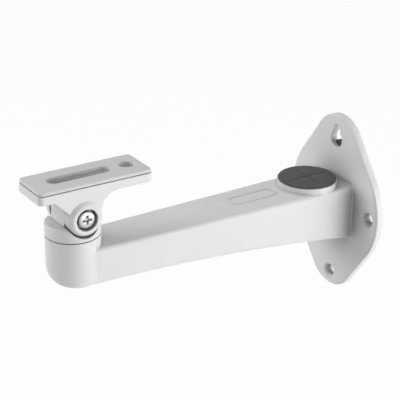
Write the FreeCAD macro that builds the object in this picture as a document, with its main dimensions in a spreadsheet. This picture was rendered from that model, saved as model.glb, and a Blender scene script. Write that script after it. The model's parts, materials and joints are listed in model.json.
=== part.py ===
# Camera wall bracket, in millimetres.
# Frame: the origin is the centre of the wall plate's back face, midway between the two side holes.
# The wall is the plane Y = 0 and the arm runs out along -Y. +Z is up.

import FreeCAD, Part
import math
import os
import Sketcher

doc = FreeCAD.newDocument("camera_wall_bracket")
sheet = doc.addObject("Spreadsheet::Sheet", "sizes")

# Driving sizes. Each has one cell with its name beside it.
SIZES = {
    # wall plate
    "plate_thick": 6.5,
    "plate_width": 109.0,
    "plate_height": 148.0,
    "plate_lobe_radius": 27.0,
    "plate_edge": 1.4,
    "side_hole_spacing": 86.0,
    "end_hole_height": 62.5,
    "wall_hole_radius": 3.75,
    "wall_sink_radius": 6.75,
    "keyhole_drop": 8.5,
    "keyhole_slot_radius": 4.0,
    "keyhole_wide_radius": 6.75,
    # gasket let into the back of the wall plate
    "gasket_thick": 2.0,
    "gasket_side_margin": 8.35,
    "gasket_lobe_radius": 6.0,
    "gasket_play": 0.3,
    "gasket_hole_play": 1.5,
    # arm
    "arm_reach": 242.0,
    "arm_top": 21.6,
    "arm_tip_width": 37.2,
    "arm_root_width": 49.6,
    "arm_belly_radius": 1500.0,
    "arm_belly_lead": 11.0,
    "arm_edge_radius": 3.0,
    "arm_wall": 4.0,
    "arm_core_lead": 37.0,
    "arm_core_radius": 2.0,
    "arm_root_fillet": 1.2,
    "arm_blend_radius": 18.0,
    # round boss at the arm's end
    "boss_radius": 20.0,
    "boss_top": 29.9,
    "boss_bottom": -6.2,
    "boss_roof": 10.0,
    "boss_well_radius": 12.0,
    "boss_edge_radius": 6.0,
    "seam_chamfer": 0.2,
    # cable collar and its grommet
    "collar_reach": 34.1,
    "collar_radius": 23.6,
    "collar_edge": 0.4,
    "collar_rise": 5.1,
    "collar_hole_radius": 18.5,
    "collar_seat_depth": 1.6,
    "collar_seat_radius": 23.1,
    "grommet_crown": 0.4,
    "grommet_flange": 2.5,
    "grommet_depth": 7.0,
    "grommet_wall": 2.5,
    "grommet_play": 0.1,
    "grommet_slit_width": 0.5,
    "grommet_slit_length": 36.0,
    # blank badge on the arm's top
    "badge_reach": 86.0,
    "badge_shift": -1.5,
    "badge_length": 43.0,
    "badge_width": 14.5,
    "badge_rim": 1.3,
    "badge_rise": 0.6,
    "badge_edge": 0.3,
    # swivel base
    "pan_washer_thick": 0.6,
    "pan_washer_inset": 1.2,
    "base_thick": 9.7,
    "base_edge": 1.2,
    "lug_width": 20.4,
    "lug_shift": -1.6,
    "lug_inset": 0.7,
    "joint_radius": 12.9,
    "joint_clearance": 1.2,
    "tilt_offset": 1.6,
    "tilt_height": 46.85,
    # pan screw
    "pan_screw_radius": 4.0,
    "thread_play": 0.05,
    "screw_tip": 0.6,
    "pan_hole_radius": 4.3,
    "pan_screw_grip": 10.5,
    "pan_head_across": 13.0,
    "pan_head_thick": 5.3,
    "pan_flat_radius": 8.0,
    "pan_flat_thick": 1.6,
    "pan_spring_radius": 7.0,
    "pan_spring_thick": 2.0,
    # camera platform
    "ear_gap": 0.8,
    "ear_face": 20.3,
    "ear_cone": 2.7,
    "platform_width": 35.0,
    "platform_front": 34.4,
    "platform_back": 54.8,
    "platform_top": 70.0,
    "platform_thick": 6.4,
    "platform_corner": 4.0,
    "web_foot": 22.6,
    "web_angle": 26.0,
    "web_fillet": 14.0,
    "pad_thick": 2.9,
    "pad_inset": 0.6,
    "pad_edge": 0.5,
    "pad_groove": 0.5,
    "slot_width": 11.2,
    "slot_start": -14.3,
    "slot_end": 24.0,
    "camera_hole_place": 42.8,
    "slot_step": 0.2,
    # tilt screw
    "tilt_screw_radius": 3.0,
    "tilt_hole_radius": 3.3,
    "tilt_head_radius": 5.8,
    "tilt_head_thick": 3.8,
    "tilt_head_crown": 1.4,
    "tilt_sink_radius": 8.15,
    "tilt_sink_depth": 6.4,
    "tilt_flat_radius": 6.9,
    "tilt_flat_thick": 1.2,
    "tilt_spring_radius": 5.9,
    "tilt_spring_thick": 1.4,
    "tilt_friction_radius": 9.0,
    "tilt_nut_across": 10.0,
    "tilt_nut_thick": 5.0,
    "tilt_nut_play": 0.15,
    "tilt_nut_sink": 0.2,
    "tilt_recess_length": 7.0,
    "tilt_recess_width": 1.5,
    "tilt_recess_depth": 2.6,
    "spring_slit": 1.0,
}

for row, (alias, value) in enumerate(SIZES.items(), start=1):
    sheet.set("A%d" % row, alias)
    sheet.set("B%d" % row, str(value))
    sheet.setAlias("B%d" % row, alias)
doc.recompute()


def size(expression):
    """Work out an expression of sheet names as a plain number."""
    return float(sheet.evalExpression(named(expression)))


def named(expression):
    """Put the sheet's name before each alias of an expression."""
    words = []
    word = ""
    for letter in str(expression) + " ":
        if letter.isalnum() or letter == "_":
            word += letter
            continue
        words.append("sizes." + word if word in SIZES else word)
        words.append(letter)
        word = ""
    return "".join(words).strip()


def bind(item, prop, expression):
    item.setExpression(prop, named(expression))


def newBody(label, shift_y="0", shift_z="0"):
    body = doc.addObject("PartDesign::Body", label)
    body.Label = label
    bind(body, "Placement.Base.y", shift_y)
    bind(body, "Placement.Base.z", shift_z)
    return body


def newSketch(body, plane, name, height="0"):
    """Start a sketch on one of the body's origin planes, raised along the plane's normal."""
    sketch = body.newObject("Sketcher::SketchObject", name)
    base = [f for f in body.Origin.OriginFeatures if f.Role == plane][0]
    sketch.AttachmentSupport = [(base, "")]
    sketch.MapMode = "FlatFace"
    bind(sketch, "AttachmentOffset.Base.z", height)
    return sketch


def holdPoint(sketch, geometry, end, x, y):
    """Hold one point of the sketch at bound distances from the sketch's origin."""
    for kind, value in (("DistanceX", x), ("DistanceY", y)):
        number = sketch.addConstraint(Sketcher.Constraint(kind, -1, 1, geometry, end, size(value)))
        bind(sketch, "Constraints[%d]" % number, value)


def addCircle(sketch, x, y, radius):
    circle = Part.Circle(FreeCAD.Vector(size(x), size(y), 0), FreeCAD.Vector(0, 0, 1), size(radius))
    geometry = sketch.addGeometry(circle, False)
    holdPoint(sketch, geometry, 3, x, y)
    number = sketch.addConstraint(Sketcher.Constraint("Radius", geometry, size(radius)))
    bind(sketch, "Constraints[%d]" % number, radius)
    return geometry


def addOutline(sketch, points):
    """Close an outline. A point is (x, y), or (x, y, centre x, centre y, way) where an arc leaves it."""
    count = len(points)
    for number, point in enumerate(points):
        after = points[(number + 1) % count]
        start = FreeCAD.Vector(size(point[0]), size(point[1]), 0)
        end = FreeCAD.Vector(size(after[0]), size(after[1]), 0)
        if len(point) == 2:
            geometry = sketch.addGeometry(Part.LineSegment(start, end), False)
            holdPoint(sketch, geometry, 1, point[0], point[1])
            holdPoint(sketch, geometry, 2, after[0], after[1])
            continue
        centre = FreeCAD.Vector(size(point[2]), size(point[3]), 0)
        first = math.atan2(start.y - centre.y, start.x - centre.x)
        last = math.atan2(end.y - centre.y, end.x - centre.x)
        ends = (1, 2)
        if point[4] == "clockwise":
            first, last = last, first
            ends = (2, 1)
        if last < first:
            last += 2 * math.pi
        circle = Part.Circle(centre, FreeCAD.Vector(0, 0, 1), (start - centre).Length)
        geometry = sketch.addGeometry(Part.ArcOfCircle(circle, first, last), False)
        holdPoint(sketch, geometry, ends[0], point[0], point[1])
        holdPoint(sketch, geometry, 3, point[2], point[3])
        if abs(end.x - centre.x) < abs(end.y - centre.y):
            kind, value = "DistanceX", after[0]
        else:
            kind, value = "DistanceY", after[1]
        held = sketch.addConstraint(Sketcher.Constraint(kind, -1, 1, geometry, ends[1], size(value)))
        bind(sketch, "Constraints[%d]" % held, value)


def pad(body, sketch, length, midplane=False, reverse=False):
    feature = body.newObject("PartDesign::Pad", sketch.Name + "_pad")
    feature.Profile = sketch
    bind(feature, "Length", length)
    feature.SideType = "Symmetric" if midplane else "One side"
    feature.Reversed = reverse
    sketch.Visibility = False
    doc.recompute()
    return feature


def pocket(body, sketch, length, midplane=False, reverse=False):
    before = body.Shape.Volume
    feature = body.newObject("PartDesign::Pocket", sketch.Name + "_cut")
    feature.Profile = sketch
    bind(feature, "Length", length)
    feature.SideType = "Symmetric" if midplane else "One side"
    feature.Reversed = reverse
    sketch.Visibility = False
    doc.recompute()
    if body.Shape.Volume > before - 0.01:
        raise ValueError("nothing was cut by " + feature.Name)
    return feature


def fillet(body, base, picks, radius, name):
    feature = body.newObject("PartDesign::Fillet", name)
    feature.Base = (base, picks)
    bind(feature, "Radius", radius)
    doc.recompute()
    return feature


def edges(shape, test):
    """Name the edges of a shape that pass a test."""
    return ["Edge%d" % (n + 1) for n, edge in enumerate(shape.Edges) if test(edge)]


def flatAt(axis, level, tolerance=0.01):
    """Test for an edge that lies wholly at one level of an axis."""
    def test(edge):
        low = getattr(edge.BoundBox, axis + "Min")
        high = getattr(edge.BoundBox, axis + "Max")
        return abs(low - level) < tolerance and abs(high - level) < tolerance
    return test


def bevel(body, name, across, level, lying=False):
    """Turn the corners off a hexagon at one level of its axis, which is upright or lies along X."""
    sketch = newSketch(body, "XZ_Plane", name, "0")
    corner = "((%s) / sqrt(3))" % across
    flat = "((%s) / 2)" % across
    drop = "((%s - %s) * 0.6)" % (corner, flat)
    points = [
        (flat, level),
        (corner + " + 1", level),
        (corner + " + 1", "(%s) + (%s + 0.6)" % (level, drop)),
    ]
    if lying:
        points = [(height, radius) for radius, height in points]
    addOutline(sketch, points)
    feature = body.newObject("PartDesign::Groove", name + "_turn")
    feature.Profile = sketch
    feature.ReferenceAxis = (sketch, ["H_Axis" if lying else "V_Axis"])
    feature.Angle = 360
    sketch.Visibility = False
    doc.recompute()
    return feature


def chamfer(body, base, picks, width, name):
    feature = body.newObject("PartDesign::Chamfer", name)
    feature.Base = (base, picks)
    bind(feature, "Size", width)
    doc.recompute()
    return feature


def revolve(body, sketch, cut=False):
    """Turn a sketch about its own horizontal axis."""
    kind = "PartDesign::Groove" if cut else "PartDesign::Revolution"
    feature = body.newObject(kind, sketch.Name + "_turn")
    feature.Profile = sketch
    feature.ReferenceAxis = (sketch, ["H_Axis"])
    feature.Angle = 360
    sketch.Visibility = False
    doc.recompute()
    return feature


def roundedBox(sketch, left, right, low, high, radius):
    """A rectangle with rounded corners."""
    inner_left = "(%s + %s)" % (left, radius)
    inner_right = "(%s - %s)" % (right, radius)
    inner_low = "(%s + %s)" % (low, radius)
    inner_high = "(%s - %s)" % (high, radius)
    addOutline(sketch, [
        (inner_left, low),
        (inner_right, low, inner_right, inner_low, "round"),
        (right, inner_low),
        (right, inner_high, inner_right, inner_high, "round"),
        (inner_right, high),
        (inner_left, high, inner_left, inner_high, "round"),
        (left, inner_high),
        (left, inner_low, inner_left, inner_low, "round"),
    ])


def slot(sketch, x, start, end, radius):
    """A slot along the sketch's vertical axis, with its two arc centres at start and end."""
    left = "(%s - %s)" % (x, radius)
    right = "(%s + %s)" % (x, radius)
    addOutline(sketch, [
        (right, start),
        (right, end, x, end, "round"),
        (left, end),
        (left, start, x, start, "round"),
    ])


def hexagon(sketch, across):
    """A hexagon about the sketch's origin, two of its flats level with the horizontal axis."""
    flat = "(%s) / 2" % across
    corner = "(%s) / sqrt(3)" % across
    half = "(%s) / sqrt(3) / 2" % across
    addOutline(sketch, [
        (corner, "0"),
        (half, flat),
        ("-" + half, flat),
        ("-" + corner, "0"),
        ("-" + half, "-" + flat),
        (half, "-" + flat),
    ])


# Height of the centres of the wall plate's two end circles.
kite_lobe = "(plate_height / 2 - plate_lobe_radius)"


def kite(sketch, wide, small):
    """The wall plate's kind of outline: a middle circle and a smaller one at each end, joined by tangents."""
    rise = "((%s - %s) / %s)" % (wide, small, kite_lobe)
    run = "sqrt(1 - %s^2)" % rise
    wide_x = "%s * %s" % (wide, run)
    wide_z = "%s * %s" % (wide, rise)
    small_x = "%s * %s" % (small, run)
    small_z = "(%s + %s * %s)" % (kite_lobe, small, rise)
    addOutline(sketch, [
        (wide_x, "-" + wide_z, "0", "0", "round"),
        (wide_x, wide_z),
        (small_x, small_z, "0", kite_lobe, "round"),
        ("-" + small_x, small_z),
        ("-" + wide_x, wide_z, "0", "0", "round"),
        ("-" + wide_x, "-" + wide_z),
        ("-" + small_x, "-" + small_z, "0", "-" + kite_lobe, "round"),
        (small_x, "-" + small_z),
    ])


# Distance from the wall at which the arm's underside starts to drop, and of the hollow's blind end.
belly_start = "(arm_reach - arm_belly_lead)"
core_end = "(arm_reach - arm_core_lead)"


def belly(body, name, lift):
    """Cut away all that lies under the arm's arched underside, raised by a lift."""
    sketch = newSketch(body, "YZ_Plane", name)
    level = "(boss_bottom + %s)" % lift
    bow = "(arm_belly_radius + %s)" % lift
    centre = "(boss_bottom - arm_belly_radius)"
    end = "(%s + sqrt(%s^2 - (%s + 5)^2))" % (centre, bow, belly_start)
    addOutline(sketch, [
        ("-arm_reach - boss_radius - 10", level),
        ("-" + belly_start, level, "-" + belly_start, centre, "clockwise"),
        ("5", end),
        ("5", "-70"),
        ("-arm_reach - boss_radius - 10", "-70"),
    ])
    return pocket(body, sketch, "arm_root_width * 2", midplane=True)


# Arm and boss, outside: a tapered outline that runs into the boss's circle with a small hollow blend.
slope = "((arm_root_width - arm_tip_width) / 2 / arm_reach)"
lean = "sqrt(1 + %s^2)" % slope
near = "(arm_tip_width / 2 / %s)" % lean
along = "sqrt((boss_radius + arm_blend_radius)^2 - (%s + arm_blend_radius)^2)" % near
blend_x = "((%s + arm_blend_radius + %s * %s) / %s)" % (near, along, slope, lean)
blend_y = "((%s - (%s + arm_blend_radius) * %s) / %s - arm_reach)" % (along, near, slope, lean)
side_x = "((%s + %s * %s) / %s)" % (near, along, slope, lean)
side_y = "((%s - %s * %s) / %s - arm_reach)" % (along, near, slope, lean)
meet_x = "(%s * boss_radius / (boss_radius + arm_blend_radius))" % blend_x
meet_y = "((%s + arm_reach) * boss_radius / (boss_radius + arm_blend_radius) - arm_reach)" % blend_y
root_x = "(arm_root_width / 2 - %s * plate_thick / 2)" % slope

outside = newBody("arm_outside")
plan = newSketch(outside, "XY_Plane", "arm_plan", "-60")
addOutline(plan, [
    (root_x, "-plate_thick / 2"),
    ("-" + root_x, "-plate_thick / 2"),
    ("-" + side_x, side_y, "-" + blend_x, blend_y, "clockwise"),
    ("-" + meet_x, meet_y, "0", "-arm_reach", "round"),
    (meet_x, meet_y, blend_x, blend_y, "clockwise"),
    (side_x, side_y),
])
arm_block = pad(outside, plan, "arm_top + 60")
top_edges = edges(arm_block.Shape, lambda e: flatAt("Z", size("arm_top"))(e)
                  and not flatAt("Y", size("-plate_thick / 2"))(e))
fillet(outside, arm_block, top_edges, "arm_edge_radius", "arm_top_edges")
belly(outside, "arm_belly", "0")
boss_sketch = newSketch(outside, "XY_Plane", "boss_plan", "arm_top - arm_edge_radius")
addCircle(boss_sketch, "0", "-arm_reach", "boss_radius")
pad(outside, boss_sketch, "boss_top - arm_top + arm_edge_radius")

# The lower edges are rounded with the boss's radius round the boss, which falls to the arm's radius beside it.
rounded = doc.addObject("Part::Fillet", "arm_rounded")
rounded.Base = outside


def lowerRadius(place):
    """Radius of the lower edge at a point, from the boss's at its middle to the arm's at the belly's start."""
    share = min(max((place.y + size("arm_reach")) / size("arm_belly_lead"), 0), 1)
    return size("boss_edge_radius") + share * size("arm_edge_radius - boss_edge_radius")


lower = []
for number, edge in enumerate(outside.Shape.Edges, start=1):
    box = edge.BoundBox
    if box.ZMax > size("boss_bottom") + 0.01 or box.XLength > 2 * box.YLength or box.YLength < 0.01:
        continue
    ends = [lowerRadius(edge.valueAt(place)) for place in (edge.FirstParameter, edge.LastParameter)]
    lower.append((number, ends[0], ends[1]))
rounded.Edges = lower
doc.recompute()

plate = newBody("wall_plate")
plate_sketch = newSketch(plate, "XZ_Plane", "plate_outline")
kite(plate_sketch, "(plate_width / 2)", "plate_lobe_radius")
plate_block = pad(plate, plate_sketch, "plate_thick")
chamfer(plate, plate_block, edges(plate_block.Shape, flatAt("Y", -size("plate_thick"))), "plate_edge",
        "plate_rim")

joined = doc.addObject("Part::Fuse", "arm_and_plate")
joined.Base = rounded
joined.Tool = plate
doc.recompute()
root = doc.addObject("Part::Fillet", "arm_root")
root.Base = joined
root_side = size("arm_root_width / 2") + 1
root_top = size("arm_top") + 1
root_low = size("boss_bottom - arm_belly_radius + sqrt(arm_belly_radius^2 - %s^2)" % belly_start) - 1
at_root = edges(joined.Shape, lambda e: flatAt("Y", -size("plate_thick"))(e)
                and max(-e.BoundBox.XMin, e.BoundBox.XMax) < root_side
                and root_low < e.BoundBox.ZMin and e.BoundBox.ZMax < root_top)
root.Edges = [(int(name[4:]), size("arm_root_fillet"), size("arm_root_fillet")) for name in at_root]
doc.recompute()
print("root fillet on", len(at_root), "edges")

# Details on the joined casting: collar, badge, holes and the seat for the gasket.
casting = newBody("casting")
casting.BaseFeature = root
doc.recompute()

collar_sketch = newSketch(casting, "XY_Plane", "collar", "arm_top - arm_edge_radius - 1")
addCircle(collar_sketch, "0", "-collar_reach", "collar_radius")
collar = pad(casting, collar_sketch, "collar_rise + arm_edge_radius + 1")
collar_top = edges(collar.Shape, lambda e: flatAt("Z", size("arm_top + collar_rise"))(e))
chamfer(casting, collar, collar_top, "collar_edge", "collar_rim")

seat_sketch = newSketch(casting, "XY_Plane", "collar_seat", "arm_top + collar_rise")
addCircle(seat_sketch, "0", "-collar_reach", "collar_seat_radius")
pocket(casting, seat_sketch, "collar_seat_depth")
mouth_sketch = newSketch(casting, "XY_Plane", "collar_mouth", "arm_top + collar_rise")
addCircle(mouth_sketch, "0", "-collar_reach", "collar_hole_radius")
pocket(casting, mouth_sketch, "collar_rise + arm_wall + 1")

badge_sketch = newSketch(casting, "XY_Plane", "badge", "arm_top")
badge_run = "(badge_length - badge_width) / 2"
for step in ("0", "badge_rim"):
    slot(badge_sketch, "badge_shift", "-badge_reach - " + badge_run, "-badge_reach + " + badge_run,
         "(badge_width / 2 - %s)" % step)
badge = pad(casting, badge_sketch, "badge_rise")
chamfer(casting, badge, edges(badge.Shape, flatAt("Z", size("arm_top + badge_rise"))), "badge_edge",
        "badge_rims")

gasket_seat = newSketch(casting, "XZ_Plane", "gasket_seat", "0")
gasket_side = "(arm_root_width / 2 + gasket_side_margin)"
kite(gasket_seat, gasket_side, "gasket_lobe_radius")
pocket(casting, gasket_seat, "gasket_thick", reverse=True)

well_sketch = newSketch(casting, "XY_Plane", "boss_well", "boss_top - boss_roof")
addCircle(well_sketch, "0", "-arm_reach", "boss_well_radius")
pocket(casting, well_sketch, "boss_top - boss_roof - boss_bottom + 5")
pan_sketch = newSketch(casting, "XY_Plane", "pan_hole", "boss_top")
addCircle(pan_sketch, "0", "-arm_reach", "pan_hole_radius")
pan_hole = pocket(casting, pan_sketch, "boss_roof + 1")
boss_rims = edges(pan_hole.Shape, lambda e: flatAt("Z", size("boss_top"))(e)
                  and e.BoundBox.XLength > size("boss_radius"))
chamfer(casting, pan_hole, boss_rims, "seam_chamfer", "boss_chamfer")

key_sketch = newSketch(casting, "XZ_Plane", "keyhole", "plate_thick")
wide_place = "(end_hole_height - keyhole_drop)"
key_meet = "(%s + sqrt(keyhole_wide_radius^2 - keyhole_slot_radius^2))" % wide_place
addOutline(key_sketch, [
    ("keyhole_slot_radius", key_meet),
    ("keyhole_slot_radius", "end_hole_height", "0", "end_hole_height", "round"),
    ("-keyhole_slot_radius", "end_hole_height"),
    ("-keyhole_slot_radius", key_meet, "0", wide_place, "round"),
])
pocket(casting, key_sketch, "plate_thick + 1")

holes_sketch = newSketch(casting, "XZ_Plane", "wall_holes", "plate_thick")
for x, z in (("side_hole_spacing / 2", "0"), ("-side_hole_spacing / 2", "0"), ("0", "-end_hole_height")):
    addCircle(holes_sketch, x, z, "wall_hole_radius")
doc.recompute()
holes = casting.newObject("PartDesign::Hole", "wall_hole_set")
holes.Profile = holes_sketch
holes.DepthType = "ThroughAll"
bind(holes, "Diameter", "wall_hole_radius * 2")
holes.HoleCutType = "Countersink"
holes.HoleCutCustomValues = True
bind(holes, "HoleCutDiameter", "wall_sink_radius * 2")
holes.HoleCutCountersinkAngle = 90
doc.recompute()
print("casting", casting.Shape.isValid(), len(casting.Shape.Solids), round(casting.Shape.Volume))

# The hollow inside the arm follows its sides and its arched underside, and opens at the back of the plate.
core = newBody("arm_core")
core_sketch = newSketch(core, "XY_Plane", "core_plan", "-60")
core_root = "(arm_root_width / 2 + %s * 2 - arm_wall)" % slope
core_tip = "(arm_tip_width / 2 + %s * arm_core_lead - arm_wall)" % slope
addOutline(core_sketch, [
    ("-" + core_tip, "-" + core_end),
    (core_tip, "-" + core_end),
    (core_root, "2"),
    ("-" + core_root, "2"),
])
pad(core, core_sketch, "arm_top - arm_wall + 60")
core_cut = belly(core, "core_belly", "arm_wall")
core_top = size("arm_top - arm_wall")
core_rims = edges(core_cut.Shape, lambda e: flatAt("Z", core_top)(e) and not flatAt("Y", 2)(e))
fillet(core, core_cut, core_rims, "arm_core_radius", "core_edges")
arm_casting = doc.addObject("Part::Cut", "arm_casting")
arm_casting.Label = "arm_casting"
arm_casting.Base = casting
arm_casting.Tool = core
doc.recompute()
print("arm_casting", arm_casting.Shape.isValid(), round(arm_casting.Shape.Volume))

# Gasket let into the plate's back, open where the arm's hollow comes out.
gasket = newBody("wall_gasket")
gasket_sketch = newSketch(gasket, "XZ_Plane", "gasket_outline", "0")
kite(gasket_sketch, "(%s - gasket_play)" % gasket_side, "(gasket_lobe_radius - gasket_play)")
gasket_block = pad(gasket, gasket_sketch, "gasket_thick")
opening = newSketch(gasket, "XZ_Plane", "gasket_opening", "0")
opening_side = "(arm_root_width / 2 - arm_wall + gasket_hole_play)"
opening_top = "(arm_top - arm_wall + gasket_hole_play)"
opening_bow = "sqrt((arm_belly_radius + arm_wall)^2 - %s^2)" % belly_start
opening_low = "(boss_bottom - arm_belly_radius + %s - gasket_hole_play)" % opening_bow
opening_corner = "(arm_core_radius + gasket_hole_play)"
roundedBox(opening, "-" + opening_side, opening_side, opening_low, opening_top, opening_corner)
pocket(gasket, opening, "gasket_thick", reverse=True)

# Rubber grommet: a flange in the collar's seat, a sleeve in its hole and a skin with a cross slit.
grommet = newBody("cable_grommet", "-collar_reach", "arm_top + collar_rise - collar_seat_depth")
grommet_sketch = newSketch(grommet, "XZ_Plane", "grommet_profile", "0")
sleeve = "(collar_hole_radius - grommet_play)"
flange = "(collar_seat_radius - grommet_play)"
addOutline(grommet_sketch, [
    ("0", "0"),
    (sleeve + " - grommet_wall", "0"),
    (sleeve + " - grommet_wall", "-grommet_depth"),
    (sleeve, "-grommet_depth"),
    (sleeve, "0"),
    (flange, "0"),
    (flange, "grommet_flange"),
    (flange + " - 1", "grommet_flange + grommet_crown"),
    ("0", "grommet_flange + grommet_crown"),
])
grommet_turn = grommet.newObject("PartDesign::Revolution", "grommet_turn")
grommet_turn.Profile = grommet_sketch
grommet_turn.ReferenceAxis = (grommet_sketch, ["V_Axis"])
grommet_turn.Angle = 360
doc.recompute()
for name, width, length in (("slit_along", "grommet_slit_width", "grommet_slit_length"),
                            ("slit_across", "grommet_slit_length", "grommet_slit_width")):
    slit = newSketch(grommet, "XY_Plane", name, "grommet_flange + grommet_crown")
    addOutline(slit, [
        ("-%s / 2" % width, "-%s / 2" % length),
        ("%s / 2" % width, "-%s / 2" % length),
        ("%s / 2" % width, "%s / 2" % length),
        ("-%s / 2" % width, "%s / 2" % length),
    ])
    pocket(grommet, slit, "grommet_flange + grommet_crown + 1")

# Swivel base: a low round block with the lug for the tilt screw.
base_level = "boss_top + pan_washer_thick"
axis_rise = "(tilt_height - boss_top - pan_washer_thick)"
swivel = newBody("swivel_base", "-arm_reach", base_level)
disc_sketch = newSketch(swivel, "XY_Plane", "base_disc", "0")
addCircle(disc_sketch, "0", "0", "boss_radius")
disc = pad(swivel, disc_sketch, "base_thick")
disc_top = chamfer(swivel, disc, edges(disc.Shape, flatAt("Z", size("base_thick"))), "base_edge", "base_rim")
chamfer(swivel, disc_top, edges(disc_top.Shape, flatAt("Z", 0)), "seam_chamfer", "base_seam")
lug_sketch = newSketch(swivel, "YZ_Plane", "lug_outline", "lug_shift")
lug_front = "(tilt_offset - joint_radius + lug_inset)"
lug_back = "(tilt_offset + joint_radius - lug_inset)"
addOutline(lug_sketch, [
    (lug_back, "base_thick - 1"),
    (lug_back, axis_rise, "tilt_offset", axis_rise, "round"),
    (lug_front, axis_rise),
    (lug_front, "base_thick - 1"),
])
pad(swivel, lug_sketch, "lug_width", midplane=True)
for name, side, turned in (("near", "+", True), ("far", "-", False)):
    scallop = newSketch(swivel, "YZ_Plane", "scallop_" + name, "lug_shift %s lug_width / 2" % side)
    addCircle(scallop, "tilt_offset", axis_rise, "(joint_radius + joint_clearance)")
    pocket(swivel, scallop, "boss_radius", reverse=turned)
lug_hole = newSketch(swivel, "YZ_Plane", "lug_hole", "0")
addCircle(lug_hole, "tilt_offset", axis_rise, "tilt_hole_radius")
pocket(swivel, lug_hole, "lug_width * 2", midplane=True)
tapped = newSketch(swivel, "XY_Plane", "tapped_hole", "0")
addCircle(tapped, "0", "0", "(pan_screw_radius + thread_play)")
pocket(swivel, tapped, "pan_screw_grip + 0.6", reverse=True)

# Friction washer in the seam.
pan_friction = newBody("pan_friction_washer", "-arm_reach", "boss_top")
ring_sketch = newSketch(pan_friction, "XY_Plane", "pan_friction_ring", "0")
addCircle(ring_sketch, "0", "0", "(boss_radius - pan_washer_inset)")
addCircle(ring_sketch, "0", "0", "pan_hole_radius")
pad(pan_friction, ring_sketch, "pan_washer_thick")

# Flat and spring washers and the hexagon screw under the boss's roof.
roof = "boss_top - boss_roof"
pan_flat = newBody("pan_washer", "-arm_reach", roof + " - pan_flat_thick")
flat_sketch = newSketch(pan_flat, "XY_Plane", "pan_flat_ring", "0")
addCircle(flat_sketch, "0", "0", "pan_flat_radius")
addCircle(flat_sketch, "0", "0", "pan_hole_radius")
pad(pan_flat, flat_sketch, "pan_flat_thick")

spring_level = roof + " - pan_flat_thick - pan_spring_thick"
pan_spring = newBody("pan_spring_washer", "-arm_reach", spring_level)
spring_sketch = newSketch(pan_spring, "XY_Plane", "pan_spring_ring", "0")
addCircle(spring_sketch, "0", "0", "pan_spring_radius")
addCircle(spring_sketch, "0", "0", "pan_hole_radius")
pad(pan_spring, spring_sketch, "pan_spring_thick")
split = newSketch(pan_spring, "XZ_Plane", "pan_spring_split", "0")
addOutline(split, [
    ("-spring_slit / 2 - pan_spring_thick / 4", "-1"),
    ("spring_slit / 2 - pan_spring_thick / 4", "-1"),
    ("spring_slit / 2 + pan_spring_thick / 4", "pan_spring_thick + 1"),
    ("-spring_slit / 2 + pan_spring_thick / 4", "pan_spring_thick + 1"),
])
pocket(pan_spring, split, "pan_spring_radius + 2", reverse=False)

pan_screw = newBody("pan_screw", "-arm_reach", spring_level)
head_sketch = newSketch(pan_screw, "XY_Plane", "pan_head", "0")
hexagon(head_sketch, "pan_head_across")
pad(pan_screw, head_sketch, "pan_head_thick", reverse=True)
shank_length = "(pan_spring_thick + pan_flat_thick + boss_roof + pan_washer_thick + pan_screw_grip)"
shank_sketch = newSketch(pan_screw, "XY_Plane", "pan_shank", "0")
addCircle(shank_sketch, "0", "0", "pan_screw_radius")
shank = pad(pan_screw, shank_sketch, shank_length)
chamfer(pan_screw, shank, edges(shank.Shape, flatAt("Z", size(shank_length))), "screw_tip", "pan_screw_tip")
bevel(pan_screw, "pan_bevel", "pan_head_across", "-pan_head_thick")

# Camera platform: slotted plate on two cheeks that end in the ears.
platform = newBody("platform", "tilt_offset - arm_reach", "tilt_height")
top_rise = "(platform_top - tilt_height)"
under_rise = "(platform_top - platform_thick - tilt_height)"
deck_sketch = newSketch(platform, "XY_Plane", "deck_outline", under_rise)
roundedBox(deck_sketch, "-platform_width / 2", "platform_width / 2", "-platform_front", "platform_back",
           "platform_corner")
pad(platform, deck_sketch, "platform_thick")
cheek_sketch = newSketch(platform, "YZ_Plane", "cheek_outline", "0")
bow_low = "(%s - web_fillet)" % under_rise
addOutline(cheek_sketch, [
    ("-web_foot", under_rise),
    ("-joint_radius * cos(web_angle)", "joint_radius * sin(web_angle)", "0", "0", "round"),
    ("joint_radius", "0"),
    ("joint_radius", bow_low, "joint_radius + web_fillet", bow_low, "clockwise"),
    ("joint_radius + web_fillet", under_rise),
    ("joint_radius + web_fillet", under_rise + " + 1"),
    ("-web_foot", under_rise + " + 1"),
])
pad(platform, cheek_sketch, "platform_width", midplane=True)
ear_sketch = newSketch(platform, "YZ_Plane", "ear_outline", "0")
addCircle(ear_sketch, "0", "0", "joint_radius")
ears = pad(platform, ear_sketch, "ear_face * 2", midplane=True)
ear_rims = edges(ears.Shape, lambda e: flatAt("X", size("ear_face"))(e) or flatAt("X", -size("ear_face"))(e))
chamfer(platform, ears, ear_rims, "ear_cone", "ear_cones")
channel_sketch = newSketch(platform, "YZ_Plane", "channel", "lug_shift")
addOutline(channel_sketch, [
    ("-platform_front - 5", "-joint_radius - 5"),
    ("platform_back + 5", "-joint_radius - 5"),
    ("platform_back + 5", under_rise),
    ("-platform_front - 5", under_rise),
])
pocket(platform, channel_sketch, "lug_width + ear_gap * 2", midplane=True)
deck_slots = newSketch(platform, "XY_Plane", "deck_slots", top_rise)
deck_radius = "(slot_width / 2 - slot_step)"
slot(deck_slots, "0", "slot_start", "slot_end", deck_radius)
addCircle(deck_slots, "0", "camera_hole_place", deck_radius)
pocket(platform, deck_slots, "platform_thick + 1")
ear_hole = newSketch(platform, "YZ_Plane", "ear_holes", "0")
addCircle(ear_hole, "0", "0", "tilt_hole_radius")
pocket(platform, ear_hole, "ear_face * 4", midplane=True)
sink_sketch = newSketch(platform, "YZ_Plane", "head_sink", "ear_face")
addCircle(sink_sketch, "0", "0", "tilt_sink_radius")
pocket(platform, sink_sketch, "tilt_sink_depth")
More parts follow.
